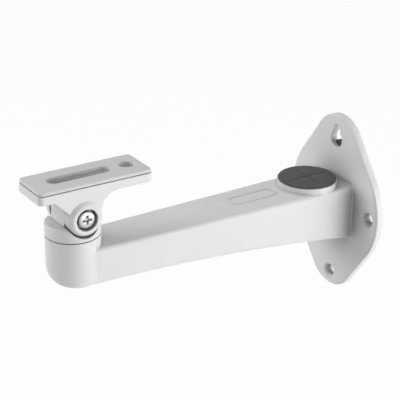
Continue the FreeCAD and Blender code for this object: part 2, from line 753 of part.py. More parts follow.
nut_seat = newSketch(platform, "YZ_Plane", "nut_seat", "-ear_face")
hexagon(nut_seat, "(tilt_nut_across + tilt_nut_play * 2)")
pocket(platform, nut_seat, "tilt_nut_thick + tilt_nut_sink", reverse=True)

# Pad on the platform, with the same slot and hole.
pad_body = newBody("platform_pad", "tilt_offset - arm_reach", "platform_top")
pad_sketch = newSketch(pad_body, "XY_Plane", "pad_outline", "0")
roundedBox(pad_sketch, "-platform_width / 2 + pad_inset", "platform_width / 2 - pad_inset",
           "-platform_front + pad_inset", "platform_back - pad_inset", "(platform_corner - pad_inset)")
pad_block = pad(pad_body, pad_sketch, "pad_thick")
pad_slots = newSketch(pad_body, "XY_Plane", "pad_slots", "pad_thick")
slot(pad_slots, "0", "slot_start", "slot_end", "(slot_width / 2)")
addCircle(pad_slots, "0", "camera_hole_place", "slot_width / 2")
pad_cut = pocket(pad_body, pad_slots, "pad_thick + 1")
pad_top = chamfer(pad_body, pad_cut, edges(pad_cut.Shape, flatAt("Z", size("pad_thick"))), "pad_edge",
                  "pad_edges")
pad_foot = edges(pad_top.Shape, lambda e: flatAt("Z", 0)(e)
                 and max(-e.BoundBox.XMin, e.BoundBox.XMax) > size("slot_width"))
chamfer(pad_body, pad_top, pad_foot, "pad_groove", "pad_foot")

# Tilt screw, with its cross recess, and what it holds.
seat_x = "(ear_face - tilt_sink_depth)"
head_x = "(%s + tilt_flat_thick + tilt_spring_thick)" % seat_x
tip_x = "(-ear_face + tilt_nut_sink)"
tilt_screw = newBody("tilt_screw", "tilt_offset - arm_reach", "tilt_height")
screw_sketch = newSketch(tilt_screw, "XZ_Plane", "tilt_screw_profile", "0")
head_end = head_x + " + tilt_head_thick"
addOutline(screw_sketch, [
    (tip_x, "0"),
    (head_end, "0"),
    (head_end, "(tilt_head_radius - tilt_head_crown)"),
    (head_end + " - tilt_head_crown", "tilt_head_radius"),
    (head_x, "tilt_head_radius"),
    (head_x, "tilt_screw_radius"),
    (tip_x + " + screw_tip", "tilt_screw_radius"),
    (tip_x, "tilt_screw_radius - screw_tip"),
])
revolve(tilt_screw, screw_sketch)
recess = newSketch(tilt_screw, "YZ_Plane", "cross_recess", head_end)
arm_out = "(tilt_recess_length / 2)"
arm_in = "(tilt_recess_width / 2)"
addOutline(recess, [
    (arm_out, "-" + arm_in),
    (arm_out, arm_in),
    (arm_in, arm_in),
    (arm_in, arm_out),
    ("-" + arm_in, arm_out),
    ("-" + arm_in, arm_in),
    ("-" + arm_out, arm_in),
    ("-" + arm_out, "-" + arm_in),
    ("-" + arm_in, "-" + arm_in),
    ("-" + arm_in, "-" + arm_out),
    (arm_in, "-" + arm_out),
    (arm_in, "-" + arm_in),
])
pocket(tilt_screw, recess, "tilt_recess_depth")

tilt_flat = newBody("tilt_washer", "tilt_offset - arm_reach", "tilt_height")
tilt_flat_sketch = newSketch(tilt_flat, "YZ_Plane", "tilt_flat_ring", seat_x)
addCircle(tilt_flat_sketch, "0", "0", "tilt_flat_radius")
addCircle(tilt_flat_sketch, "0", "0", "tilt_hole_radius")
pad(tilt_flat, tilt_flat_sketch, "tilt_flat_thick")

tilt_spring = newBody("tilt_spring_washer", "tilt_offset - arm_reach", "tilt_height")
tilt_spring_sketch = newSketch(tilt_spring, "YZ_Plane", "tilt_spring_ring", seat_x + " + tilt_flat_thick")
addCircle(tilt_spring_sketch, "0", "0", "tilt_spring_radius")
addCircle(tilt_spring_sketch, "0", "0", "tilt_hole_radius")
pad(tilt_spring, tilt_spring_sketch, "tilt_spring_thick")
tilt_split = newSketch(tilt_spring, "XY_Plane", "tilt_spring_split", "0")
split_low = seat_x + " + tilt_flat_thick - 1"
split_high = seat_x + " + tilt_flat_thick + tilt_spring_thick + 1"
addOutline(tilt_split, [
    (split_low, "-spring_slit / 2 - tilt_spring_thick / 4"),
    (split_high, "-spring_slit / 2 + tilt_spring_thick / 4"),
    (split_high, "spring_slit / 2 + tilt_spring_thick / 4"),
    (split_low, "spring_slit / 2 - tilt_spring_thick / 4"),
])
pocket(tilt_spring, tilt_split, "tilt_spring_radius + 2")

tilt_nut = newBody("tilt_nut", "tilt_offset - arm_reach", "tilt_height")
nut_sketch = newSketch(tilt_nut, "YZ_Plane", "nut_outline", "-ear_face + tilt_nut_sink")
hexagon(nut_sketch, "tilt_nut_across")
pad(tilt_nut, nut_sketch, "tilt_nut_thick")
nut_hole = newSketch(tilt_nut, "YZ_Plane", "nut_thread", "-ear_face + tilt_nut_sink")
addCircle(nut_hole, "0", "0", "(tilt_screw_radius + thread_play)")
pocket(tilt_nut, nut_hole, "tilt_nut_thick", reverse=True)
bevel(tilt_nut, "nut_bevel", "tilt_nut_across", "-ear_face + tilt_nut_sink", lying=True)

# Two friction washers, one in each slit beside the lug.
tilt_rings = []
for side, level in (("near", "lug_shift + lug_width / 2"), ("far", "lug_shift - lug_width / 2 - ear_gap")):
    ring = newBody("tilt_friction_" + side, "tilt_offset - arm_reach", "tilt_height")
    ring_outline = newSketch(ring, "YZ_Plane", "tilt_friction_outline_" + side, level)
    addCircle(ring_outline, "0", "0", "tilt_friction_radius")
    addCircle(ring_outline, "0", "0", "tilt_hole_radius")
    pad(ring, ring_outline, "ear_gap")
    tilt_rings.append(ring)
tilt_friction = doc.addObject("Part::Compound", "tilt_friction_washers")
tilt_friction.Label = "tilt_friction_washers"
tilt_friction.Links = tilt_rings
doc.recompute()

PIECES = [arm_casting, gasket, grommet, swivel, pan_friction, pan_flat, pan_spring, pan_screw,
          platform, pad_body, tilt_screw, tilt_flat, tilt_spring, tilt_nut, tilt_friction]
for item in doc.Objects:
    if "Invalid" in item.State or "Error" in item.State:
        raise ValueError("not built: " + item.Label)
os.makedirs("parts", exist_ok=True)
for piece in PIECES:
    if piece.Shape.isNull() or not piece.Shape.isValid():
        raise ValueError("not a good shape: " + piece.Label)
    piece.Shape.exportStep("parts/" + piece.Label + ".step")
    print(piece.Label, len(piece.Shape.Solids), round(piece.Shape.Volume))
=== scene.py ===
import bmesh
import bpy
import json
import math
from mathutils import Matrix, Vector


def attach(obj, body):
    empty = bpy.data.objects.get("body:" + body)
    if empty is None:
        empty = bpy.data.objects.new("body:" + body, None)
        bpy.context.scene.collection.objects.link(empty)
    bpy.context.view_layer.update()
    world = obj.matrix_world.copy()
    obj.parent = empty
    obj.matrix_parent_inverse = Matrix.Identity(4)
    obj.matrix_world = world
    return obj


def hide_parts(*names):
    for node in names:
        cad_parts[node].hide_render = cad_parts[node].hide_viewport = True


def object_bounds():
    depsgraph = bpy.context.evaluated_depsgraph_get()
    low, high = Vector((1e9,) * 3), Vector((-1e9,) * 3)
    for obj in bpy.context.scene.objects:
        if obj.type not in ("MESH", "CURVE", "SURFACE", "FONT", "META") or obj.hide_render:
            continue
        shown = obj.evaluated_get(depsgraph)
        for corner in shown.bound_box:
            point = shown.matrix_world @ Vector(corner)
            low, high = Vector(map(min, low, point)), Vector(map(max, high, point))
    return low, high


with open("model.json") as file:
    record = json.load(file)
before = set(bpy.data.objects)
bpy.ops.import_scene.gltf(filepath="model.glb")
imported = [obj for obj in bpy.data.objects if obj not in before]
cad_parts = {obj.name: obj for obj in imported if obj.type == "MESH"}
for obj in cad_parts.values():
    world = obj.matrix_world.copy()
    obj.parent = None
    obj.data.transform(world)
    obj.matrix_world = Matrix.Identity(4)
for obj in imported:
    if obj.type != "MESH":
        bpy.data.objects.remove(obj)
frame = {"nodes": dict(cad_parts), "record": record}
cadBox = [list(corner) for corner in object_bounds()]
nodes = frame["nodes"]
print("packed bracket loaded:", len(nodes), "pieces")


# small helpers for node trees

def startMaterial(name):
    material = bpy.data.materials.new(name)
    material.use_nodes = True
    tree = material.node_tree
    shader = tree.nodes["Principled BSDF"]
    place = tree.nodes.new("ShaderNodeTexCoord")
    return material, tree, shader, place.outputs["Object"]


def addNoise(tree, place, scale, detail=2.0, roughness=0.5):
    noise = tree.nodes.new("ShaderNodeTexNoise")
    noise.inputs["Scale"].default_value = scale
    noise.inputs["Detail"].default_value = detail
    noise.inputs["Roughness"].default_value = roughness
    tree.links.new(place, noise.inputs["Vector"])
    return noise.outputs["Fac"]


def addRange(tree, value, low, high, start=0.3, end=0.7):
    # noise seldom leaves 0.3 to 0.7, so those are the usual ends
    spread = tree.nodes.new("ShaderNodeMapRange")
    spread.inputs["From Min"].default_value = start
    spread.inputs["From Max"].default_value = end
    spread.inputs["To Min"].default_value = low
    spread.inputs["To Max"].default_value = high
    tree.links.new(value, spread.inputs["Value"])
    return spread.outputs["Result"]


def addColours(tree, value, first, second):
    mix = tree.nodes.new("ShaderNodeMix")
    mix.data_type = "RGBA"
    mix.inputs["A"].default_value = (*first, 1.0)
    mix.inputs["B"].default_value = (*second, 1.0)
    tree.links.new(value, mix.inputs["Factor"])
    return mix.outputs["Result"]


def addBump(tree, shader, height, strength, distance, under=None):
    bump = tree.nodes.new("ShaderNodeBump")
    bump.inputs["Strength"].default_value = strength
    bump.inputs["Distance"].default_value = distance
    tree.links.new(height, bump.inputs["Height"])
    if under:
        tree.links.new(under, bump.inputs["Normal"])
    tree.links.new(bump.outputs["Normal"], shader.inputs["Normal"])
    return bump.outputs["Normal"]


gapSamples = 12


def paintShadeInGaps(tree, colour, gaps, where=None):
    # painted shade: a finish's colour is darkened in its gaps by how much open sky an occlusion node finds blocked,
    # where is the share of the effect from place to place
    for gap in gaps:
        shelter = tree.nodes.new("ShaderNodeAmbientOcclusion")
        shelter.samples = gapSamples
        shelter.inputs["Distance"].default_value = gap["reach"]
        share = addRange(tree, shelter.outputs["AO"], gap["dark"], 1.0, gap["closed"], gap["clear"])
        mix = tree.nodes.new("ShaderNodeMix")
        mix.data_type = "RGBA"
        mix.blend_type = "MULTIPLY"
        mix.inputs["Factor"].default_value = 1.0
        if where is not None:
            tree.links.new(where, mix.inputs["Factor"])
        tree.links.new(colour, mix.inputs["A"])
        tree.links.new(share, mix.inputs["B"])
        colour = mix.outputs["Result"]
    return colour


# white powder coat on the castings
powderCoat = {
    "pale": (0.80, 0.80, 0.80),
    "paler": (0.84, 0.84, 0.84),
    "cloudScale": 22.0,  # soft drift of tone, per metre
    "cloudDetail": 3.0,
    "peelScale": 620.0,  # orange peel
    "peelDetail": 1.5,
    "peelStrength": 0.7,
    "peelHeight": 0.00004,
    "grainScale": 2600.0,  # fine grain of the powder
    "grainDetail": 2.0,
    "grainStrength": 0.6,
    "grainHeight": 0.00001,
    "roughLow": 0.42,
    "roughHigh": 0.52,
    "gaps": (  # painted shade in gaps: reach in metres, open sky at the darkest and at the full tone, and the darkest share
        {"reach": 0.022, "closed": 0.4, "clear": 0.9, "dark": 0.8},
        {"reach": 0.004, "closed": 0.2, "clear": 0.85, "dark": 0.75},
        {"reach": 0.0014, "closed": 0.35, "clear": 0.92, "dark": 0.4},
    ),
    "cornerShadeGaps": ({"reach": 0.050, "closed": 0.4, "clear": 0.92, "dark": 0.42},),  # painted shade in the corner of arm and wall plate
    "cornerFrom": -0.075,  # along Y, where the corner's painted shade begins and where it is whole
    "cornerFull": -0.012,
    "cornerTop": 0.016,  # up Z, the corner over the arm is open to the light and gets less painted shade
    "cornerEnd": 0.026,
    "cornerAbove": 0.22,
}


def cornerShadeShare(tree, place):
    # share of the corner's painted shade: whole beside the wall, nothing along the arm, and less above the arm's
    # top
    split = tree.nodes.new("ShaderNodeSeparateXYZ")
    tree.links.new(place, split.inputs["Vector"])
    nearWall = addRange(tree, split.outputs["Y"], 0.0, 1.0, powderCoat["cornerFrom"], powderCoat["cornerFull"])
    underTop = addRange(tree, split.outputs["Z"], 1.0, powderCoat["cornerAbove"], powderCoat["cornerTop"],
                        powderCoat["cornerEnd"])
    corner = tree.nodes.new("ShaderNodeMath")
    corner.operation = "MULTIPLY"
    tree.links.new(nearWall, corner.inputs[0])
    tree.links.new(underTop, corner.inputs[1])
    return corner.outputs["Value"]


def makePowderCoat(name):
    material, tree, shader, place = startMaterial(name)
    cloud = addNoise(tree, place, powderCoat["cloudScale"], powderCoat["cloudDetail"])
    peel = addNoise(tree, place, powderCoat["peelScale"], powderCoat["peelDetail"])
    grain = addNoise(tree, place, powderCoat["grainScale"], powderCoat["grainDetail"])
    coat = addColours(tree, cloud, powderCoat["pale"], powderCoat["paler"])
    # painted shade: the coat's colour is darkened in its gaps, then in the corner of arm and wall plate
    coat = paintShadeInGaps(tree, coat, powderCoat["gaps"])
    coat = paintShadeInGaps(tree, coat, powderCoat["cornerShadeGaps"], cornerShadeShare(tree, place))
    tree.links.new(coat, shader.inputs["Base Color"])
    rough = addRange(tree, grain, powderCoat["roughLow"], powderCoat["roughHigh"])
    tree.links.new(rough, shader.inputs["Roughness"])
    fine = addBump(tree, shader, grain, powderCoat["grainStrength"], powderCoat["grainHeight"])
    addBump(tree, shader, peel, powderCoat["peelStrength"], powderCoat["peelHeight"], fine)
    return material


# black moulded rubber of the grommet and the wall gasket
blackRubber = {
    "dark": (0.060, 0.060, 0.061),
    "dusty": (0.085, 0.085, 0.086),
    "cloudScale": 60.0,
    "cloudDetail": 4.0,
    "cloudRoughness": 0.6,
    "dustFrom": 0.35,
    "dustTo": 0.75,
    "grainScale": 1500.0,
    "grainDetail": 2.0,
    "grainStrength": 0.5,
    "grainHeight": 0.00003,
    "roughLow": 0.55,
    "roughHigh": 0.72,
    "specular": 0.35,
}


def makeBlackRubber(name):
    material, tree, shader, place = startMaterial(name)
    cloud = addNoise(tree, place, blackRubber["cloudScale"], blackRubber["cloudDetail"],
                     blackRubber["cloudRoughness"])
    grain = addNoise(tree, place, blackRubber["grainScale"], blackRubber["grainDetail"])
    dust = addRange(tree, cloud, 0.0, 1.0, blackRubber["dustFrom"], blackRubber["dustTo"])
    tree.links.new(addColours(tree, dust, blackRubber["dark"], blackRubber["dusty"]), shader.inputs["Base Color"])
    rough = addRange(tree, cloud, blackRubber["roughLow"], blackRubber["roughHigh"])
    tree.links.new(rough, shader.inputs["Roughness"])
    shader.inputs["Specular IOR Level"].default_value = blackRubber["specular"]
    addBump(tree, shader, grain, blackRubber["grainStrength"], blackRubber["grainHeight"])
    return material


# light grey rubber pad
greyPad = {
    "grey": (0.74, 0.74, 0.735),
    "paler": (0.78, 0.78, 0.775),
    "cloudScale": 45.0,
    "cloudDetail": 3.0,
    "grainScale": 1900.0,
    "grainDetail": 2.5,
    "grainStrength": 0.5,
    "grainHeight": 0.00004,
    "roughLow": 0.62,
    "roughHigh": 0.78,
    "specular": 0.3,
    # painted shade in the pad's gaps
    "gaps": (
        {"reach": 0.006, "closed": 0.15, "clear": 0.9, "dark": 0.35},
        {"reach": 0.0012, "closed": 0.3, "clear": 0.9, "dark": 0.7},
    ),
}


def makeGreyPad(name):
    material, tree, shader, place = startMaterial(name)
    cloud = addNoise(tree, place, greyPad["cloudScale"], greyPad["cloudDetail"])
    grain = addNoise(tree, place, greyPad["grainScale"], greyPad["grainDetail"])
    rubber = addColours(tree, cloud, greyPad["grey"], greyPad["paler"])
    # painted shade: the pad's colour is darkened in its gaps
    rubber = paintShadeInGaps(tree, rubber, greyPad["gaps"])
    tree.links.new(rubber, shader.inputs["Base Color"])
    rough = addRange(tree, grain, greyPad["roughLow"], greyPad["roughHigh"])
    tree.links.new(rough, shader.inputs["Roughness"])
    shader.inputs["Specular IOR Level"].default_value = greyPad["specular"]
    addBump(tree, shader, grain, greyPad["grainStrength"], greyPad["grainHeight"])
    return material


# zinc-plated steel of the screws, washers and nut
platedSteel = {
    "bright": (0.56, 0.56, 0.555),
    "dull": (0.46, 0.46, 0.455),
    "cloudScale": 260.0,
    "cloudDetail": 4.0,
    "cloudRoughness": 0.6,
    "scratchScale": 3200.0,
    "scratchDetail": 2.0,
    "scratchStrength": 0.15,
    "scratchDepth": 0.00001,
    "roughLow": 0.38,
    "roughHigh": 0.50,
    # painted shade in the recesses round heads and washers
    "gaps": ({"reach": 0.003, "closed": 0.1, "clear": 0.7, "dark": 0.45},),
}


def makePlatedSteel(name):
    material, tree, shader, place = startMaterial(name)
    cloud = addNoise(tree, place, platedSteel["cloudScale"], platedSteel["cloudDetail"],
                     platedSteel["cloudRoughness"])
    scratch = addNoise(tree, place, platedSteel["scratchScale"], platedSteel["scratchDetail"])
    plating = addColours(tree, cloud, platedSteel["bright"], platedSteel["dull"])
    # painted shade: the plating's colour is darkened in its recesses
    plating = paintShadeInGaps(tree, plating, platedSteel["gaps"])
    tree.links.new(plating, shader.inputs["Base Color"])
    rough = addRange(tree, cloud, platedSteel["roughLow"], platedSteel["roughHigh"])
    tree.links.new(rough, shader.inputs["Roughness"])
    shader.inputs["Metallic"].default_value = 1.0
    addBump(tree, shader, scratch, platedSteel["scratchStrength"], platedSteel["scratchDepth"])
    return material


# black nylon of the friction washers
blackNylon = {
    "black": (0.030, 0.030, 0.031),
    "worn": (0.045, 0.045, 0.046),
    "grainScale": 900.0,
    "grainDetail": 2.0,
    "grainStrength": 0.3,
    "grainHeight": 0.00002,
    "roughLow": 0.40,
    "roughHigh": 0.52,
}


def makeBlackNylon(name):
    material, tree, shader, place = startMaterial(name)
    grain = addNoise(tree, place, blackNylon["grainScale"], blackNylon["grainDetail"])
    tree.links.new(addColours(tree, grain, blackNylon["black"], blackNylon["worn"]), shader.inputs["Base Color"])
    rough = addRange(tree, grain, blackNylon["roughLow"], blackNylon["roughHigh"])
    tree.links.new(rough, shader.inputs["Roughness"])
    addBump(tree, shader, grain, blackNylon["grainStrength"], blackNylon["grainHeight"])
    return material


finishes = {
    "white_paint": makePowderCoat("whitePowderCoat"),
    "black_rubber": makeBlackRubber("blackRubber"),
    "grey_pad": makeGreyPad("greyPad"),
    "bright_steel": makePlatedSteel("platedSteel"),
    "black_nylon": makeBlackNylon("blackNylon"),
}
for part in frame["record"]["subparts"]:
    piece = nodes[part["node"]]
    piece.data.materials.clear()
    piece.data.materials.append(finishes[part["material_slot"]])
print("finishes on:", ", ".join(sorted(nodes)))


# small helpers for meshes

def latheMesh(name, profile, steps):
    # the profile's pairs of radius and level in mm are turned round Z
    made = bmesh.new()
    rings = []
    for radius, level in profile:
        if radius < 1e-6:
            rings.append([made.verts.new((0.0, 0.0, level))])
            continue
        turns = [2.0 * math.pi * step / steps for step in range(steps)]
        rings.append([made.verts.new((radius * math.cos(turn), radius * math.sin(turn), level)) for turn in turns])
    pairs = list(zip(rings, rings[1:]))
    if len(rings[0]) > 1:
        pairs.append((rings[-1], rings[0]))
    for low, high in pairs:
        for step in range(steps):
            after = step + 1
            corners = [low[step % len(low)], low[after % len(low)], high[after % len(high)], high[step % len(high)]]
            made.faces.new(list(dict.fromkeys(corners)))
    bmesh.ops.recalc_face_normals(made, faces=made.faces)
    mesh = bpy.data.meshes.new(name)
    made.to_mesh(mesh)
    made.free()
    return mesh


def placeMesh(mesh, place, toX=False):
    # from mm round Z to metres in the bracket's frame, laid along X if toX
    turn = Matrix.Rotation(math.pi / 2.0, 4, "Y") if toX else Matrix.Identity(4)
    mesh.transform(Matrix.Translation([value / 1000.0 for value in place]) @ turn @ Matrix.Scale(0.001, 4))


def smoothMesh(mesh, sharpAngle):
    mesh.shade_smooth()
    mesh.set_sharp_from_angle(angle=math.radians(sharpAngle))


def showMesh(name, mesh, finish):
    piece = bpy.data.objects.new(name, mesh)
    bpy.context.collection.objects.link(piece)
    mesh.materials.clear()
    mesh.materials.append(finishes[finish])
    return piece


def ridePiece(piece, node, body):
    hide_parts(node)
    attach(piece, body)


def bakeModifiers(piece):
    # turns the evaluated shape into the piece's own plain mesh and drops the modifiers
    shape = piece.evaluated_get(bpy.context.evaluated_depsgraph_get())
    mesh = bpy.data.meshes.new_from_object(shape)
    old = piece.data
    piece.modifiers.clear()
    piece.data = mesh
    bpy.data.meshes.remove(old)
    mesh.name = piece.name


weldReach = 0.000004  # metres


def weldMesh(mesh):
    # a cut leaves slivers behind: their points are joined and the faces without area dissolved
    made = bmesh.new()
    made.from_mesh(mesh)
    bmesh.ops.remove_doubles(made, verts=made.verts, dist=weldReach)
    bmesh.ops.triangulate(made, faces=[face for face in made.faces if len(face.verts) > 4])
    bmesh.ops.dissolve_degenerate(made, edges=made.edges, dist=weldReach)
    made.to_mesh(mesh)
    made.free()


def addBevel(piece, width, angle, segments=2):
    rounding = piece.modifiers.new("rounding", "BEVEL")
    rounding.width = width
    rounding.limit_method = "ANGLE"
    rounding.angle_limit = math.radians(angle)
    rounding.segments = segments
    rounding.use_clamp_overlap = False


# node trees for what repeats round an axis or winds along one

def startTree(name, inputs):
    tree = bpy.data.node_groups.new(name, "GeometryNodeTree")
    tree.interface.new_socket("Geometry", in_out="INPUT", socket_type="NodeSocketGeometry")
    for label, kind, value in inputs:
        socket = tree.interface.new_socket(label, in_out="INPUT", socket_type=kind)
        if value is not None:
            socket.default_value = value
    tree.interface.new_socket("Geometry", in_out="OUTPUT", socket_type="NodeSocketGeometry")
    return tree, tree.nodes.new("NodeGroupInput"), tree.nodes.new("NodeGroupOutput")


def mathNode(tree, operation, first, second=None, third=None):
    node = tree.nodes.new("ShaderNodeMath")
    node.operation = operation
    for socket, value in zip(node.inputs, (first, second, third)):
        if value is None:
            continue
        if isinstance(value, (int, float)):
            socket.default_value = value
        else:
            tree.links.new(value, socket)
    return node.outputs[0]


def setInputs(piece, tree, values):
    step = piece.modifiers.new(tree.name, "NODES")
    step.node_group = tree
    for item in tree.interface.items_tree:
        if item.item_type == "SOCKET" and item.in_out == "INPUT" and item.name in values:
            step[item.identifier] = values[item.name]


def makeCutRoundTree():
    # a block is repeated round Z and cut out of the piece: slits of a grommet, flats of a hexagon
    tree, start, end = startTree("cutRound", [
        ("Count", "NodeSocketInt", 6),
        ("Block Size", "NodeSocketVector", None),
        ("Block Middle", "NodeSocketVector", None),
        ("Finish", "NodeSocketMaterial", None),
    ])
    block = tree.nodes.new("GeometryNodeMeshCube")
    shift = tree.nodes.new("GeometryNodeTransform")
    points = tree.nodes.new("GeometryNodePoints")
    number = tree.nodes.new("GeometryNodeInputIndex")
    copies = tree.nodes.new("GeometryNodeInstanceOnPoints")
    turn = tree.nodes.new("GeometryNodeRotateInstances")
    angles = tree.nodes.new("ShaderNodeCombineXYZ")
    whole = tree.nodes.new("GeometryNodeRealizeInstances")
    cut = tree.nodes.new("GeometryNodeMeshBoolean")
    paint = tree.nodes.new("GeometryNodeSetMaterial")
    cut.operation = "DIFFERENCE"
    cut.solver = "EXACT"
    tree.links.new(start.outputs["Block Size"], block.inputs["Size"])
    tree.links.new(block.outputs["Mesh"], shift.inputs["Geometry"])
    tree.links.new(start.outputs["Block Middle"], shift.inputs["Translation"])
    tree.links.new(start.outputs["Count"], points.inputs["Count"])
    tree.links.new(points.outputs["Points"], copies.inputs["Points"])
    tree.links.new(shift.outputs["Geometry"], copies.inputs["Instance"])
    share = mathNode(tree, "DIVIDE", number.outputs["Index"], start.outputs["Count"])
    tree.links.new(mathNode(tree, "MULTIPLY", share, 2.0 * math.pi), angles.inputs["Z"])
    tree.links.new(copies.outputs["Instances"], turn.inputs["Instances"])
    tree.links.new(angles.outputs["Vector"], turn.inputs["Rotation"])
    turn.inputs["Local Space"].default_value = False
    tree.links.new(turn.outputs["Instances"], whole.inputs["Geometry"])
    cut.inputs["Self Intersection"].default_value = True
    tree.links.new(start.outputs["Geometry"], cut.inputs["Mesh 1"])
    tree.links.new(whole.outputs["Geometry"], cut.inputs["Mesh 2"])
    tree.links.new(cut.outputs["Mesh"], paint.inputs["Geometry"])
    tree.links.new(start.outputs["Finish"], paint.inputs["Material"])
    tree.links.new(paint.outputs["Geometry"], end.inputs["Geometry"])
    return tree


def makeThreadTree():
    # the rows of a plain shank are drawn in along a helix, so that they form a V thread
    tree, start, end = startTree("screwThread", [
        ("Pitch", "NodeSocketFloat", 1.0),
        ("Depth", "NodeSocketFloat", 0.5),
        ("Thread Start", "NodeSocketFloat", 0.0),
        ("Thread End", "NodeSocketFloat", 10.0),
        ("Shank Radius", "NodeSocketFloat", 3.0),
        ("Finish", "NodeSocketMaterial", None),
    ])
    place = tree.nodes.new("GeometryNodeInputPosition")
    parts = tree.nodes.new("ShaderNodeSeparateXYZ")
    move = tree.nodes.new("GeometryNodeSetPosition")
    whole = tree.nodes.new("GeometryNodeRealizeInstances")
    paint = tree.nodes.new("GeometryNodeSetMaterial")
    inward = tree.nodes.new("ShaderNodeVectorMath")
    inward.operation = "SCALE"
    level = tree.nodes.new("ShaderNodeCombineXYZ")
    tree.links.new(place.outputs["Position"], parts.inputs["Vector"])
    x, y, z = parts.outputs
    angle = mathNode(tree, "ARCTAN2", y, x)
    wound = mathNode(tree, "DIVIDE", angle, 2.0 * math.pi)
    turns = mathNode(tree, "DIVIDE", z, start.outputs["Pitch"])
    # place within one turn from 0 to 1, and the 100 turns added keep it above 0
    share = mathNode(tree, "FRACT", mathNode(tree, "ADD", mathNode(tree, "SUBTRACT", turns, wound), 100.0))
    slope = mathNode(tree, "ABSOLUTE", mathNode(tree, "MULTIPLY_ADD", share, 2.0, -1.0))
    groove = mathNode(tree, "SUBTRACT", 1.0, slope)
    fadeIn = mathNode(tree, "SUBTRACT", z, start.outputs["Thread Start"])
    fadeOut = mathNode(tree, "SUBTRACT", start.outputs["Thread End"], z)
    inside = mathNode(tree, "MINIMUM", mathNode(tree, "GREATER_THAN", fadeIn, 0.0),
                      mathNode(tree, "GREATER_THAN", fadeOut, 0.0))
    squares = mathNode(tree, "ADD", mathNode(tree, "MULTIPLY", x, x), mathNode(tree, "MULTIPLY", y, y))
    radius = mathNode(tree, "SQRT", squares)
    # only the points on the shank's outside move
    outer = mathNode(tree, "GREATER_THAN", radius, mathNode(tree, "MULTIPLY", start.outputs["Shank Radius"], 0.98))
    pull = mathNode(tree, "MULTIPLY", mathNode(tree, "MULTIPLY", groove, start.outputs["Depth"]),
                    mathNode(tree, "MULTIPLY", inside, outer))
    shareIn = mathNode(tree, "DIVIDE", mathNode(tree, "MULTIPLY", pull, -1.0),
                       mathNode(tree, "MAXIMUM", radius, 0.001))
    tree.links.new(x, level.inputs["X"])
    tree.links.new(y, level.inputs["Y"])
    tree.links.new(level.outputs["Vector"], inward.inputs[0])
    tree.links.new(shareIn, inward.inputs["Scale"])
    tree.links.new(start.outputs["Geometry"], move.inputs["Geometry"])
    tree.links.new(inward.outputs["Vector"], move.inputs["Offset"])
    tree.links.new(move.outputs["Geometry"], whole.inputs["Geometry"])
    tree.links.new(whole.outputs["Geometry"], paint.inputs["Geometry"])
    tree.links.new(start.outputs["Finish"], paint.inputs["Material"])
    tree.links.new(paint.outputs["Geometry"], end.inputs["Geometry"])
    return tree


cutRound = makeCutRoundTree()
screwThread = makeThreadTree()


# the grommet: a turned rubber disc and sleeve with a cross slit, sizes in mm
grommet = {
    "node": "cable_grommet",
    "place": (0.0, -34.1, 25.1),  # middle of the collar's seat
    "flangeRadius": 23.0,
    "flangeHeight": 2.5,
    "crown": 0.4,
    "rimRound": 0.9,
    "sleeveRadius": 18.4,
    "sleeveWall": 2.5,
    "sleeveDepth": 7.0,
    "slitWidth": 0.5,
    "slitReach": 18.0,
    "slits": 4,
    "cutHeight": 12.0,  # of the block that cuts a slit, and its middle's level
    "cutLevel": 5.0,
    "lip": 0.18,  # rounding of the slit's lips
    "flangeEdge": 0.15,
    "sleeveEdge": 0.4,
    "sharpFrom": 50.0,
    "rimSteps": 6,
    "steps": 96,
}


def makeGrommet():
    outer = grommet["flangeRadius"]
    rim = grommet["rimRound"]
    top = grommet["flangeHeight"] + grommet["crown"]
    sleeve = grommet["sleeveRadius"]
    bore = sleeve - grommet["sleeveWall"]
    deep = -grommet["sleeveDepth"]
    edge, end = grommet["flangeEdge"], grommet["sleeveEdge"]
    profile = [(0.0, top), (outer * 0.5, top - 0.02), (outer - rim * 1.8, top - 0.06)]  # a low crown
    for turn in range(1, grommet["rimSteps"] + 1):
        angle = math.pi / 2 * turn / grommet["rimSteps"]
        profile.append((outer - rim + rim * math.sin(angle), top - 0.1 - rim * (1.0 - math.cos(angle))))
    profile += [(outer, edge), (outer - edge, 0.0), (sleeve, 0.0), (sleeve, deep + end), (sleeve - end, deep),
                (bore + end, deep), (bore, deep + end), (bore, end), (bore - end, 0.0), (0.0, 0.0)]
    piece = showMesh("grommet", latheMesh("grommet", profile, grommet["steps"]), "black_rubber")
    reach = grommet["slitReach"]
    setInputs(piece, cutRound, {  # each block starts a little past the middle
        "Count": grommet["slits"],
        "Block Size": (reach + 0.1, grommet["slitWidth"], grommet["cutHeight"]),
        "Block Middle": (reach / 2 - 0.05, 0.0, grommet["cutLevel"]),
        "Finish": finishes["black_rubber"],
    })
    bakeModifiers(piece)
    addBevel(piece, grommet["lip"], grommet["sharpFrom"])
    bakeModifiers(piece)
    placeMesh(piece.data, grommet["place"])
    weldMesh(piece.data)
    smoothMesh(piece.data, grommet["sharpFrom"])
    ridePiece(piece, grommet["node"], "arm")


makeGrommet()
print("grommet with", grommet["slits"], "slit arms")


# castings and pad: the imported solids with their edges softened, round in mm
softPieces = {
    "armCasting": {"node": "arm_casting", "body": "arm", "finish": "white_paint", "round": 0.5},
    "swivelBlock": {"node": "swivel_base", "body": "swivel", "finish": "white_paint", "round": 0.35},
    "tiltPlatform": {"node": "platform", "body": "head", "finish": "white_paint", "round": 0.4},
    "platformPad": {"node": "platform_pad", "body": "head", "finish": "grey_pad", "round": 0.3},
}
softEdge = {
    "mergeWithin": 0.000001,  # metres
    "flatWithin": 0.05,  # degrees, as are the next two
    "sharpFrom": 60.0,
    "shadeFrom": 52.0,
    "segments": 2,
    "room": 1.4,  # widths of rounding that the edges beside it must be long
}


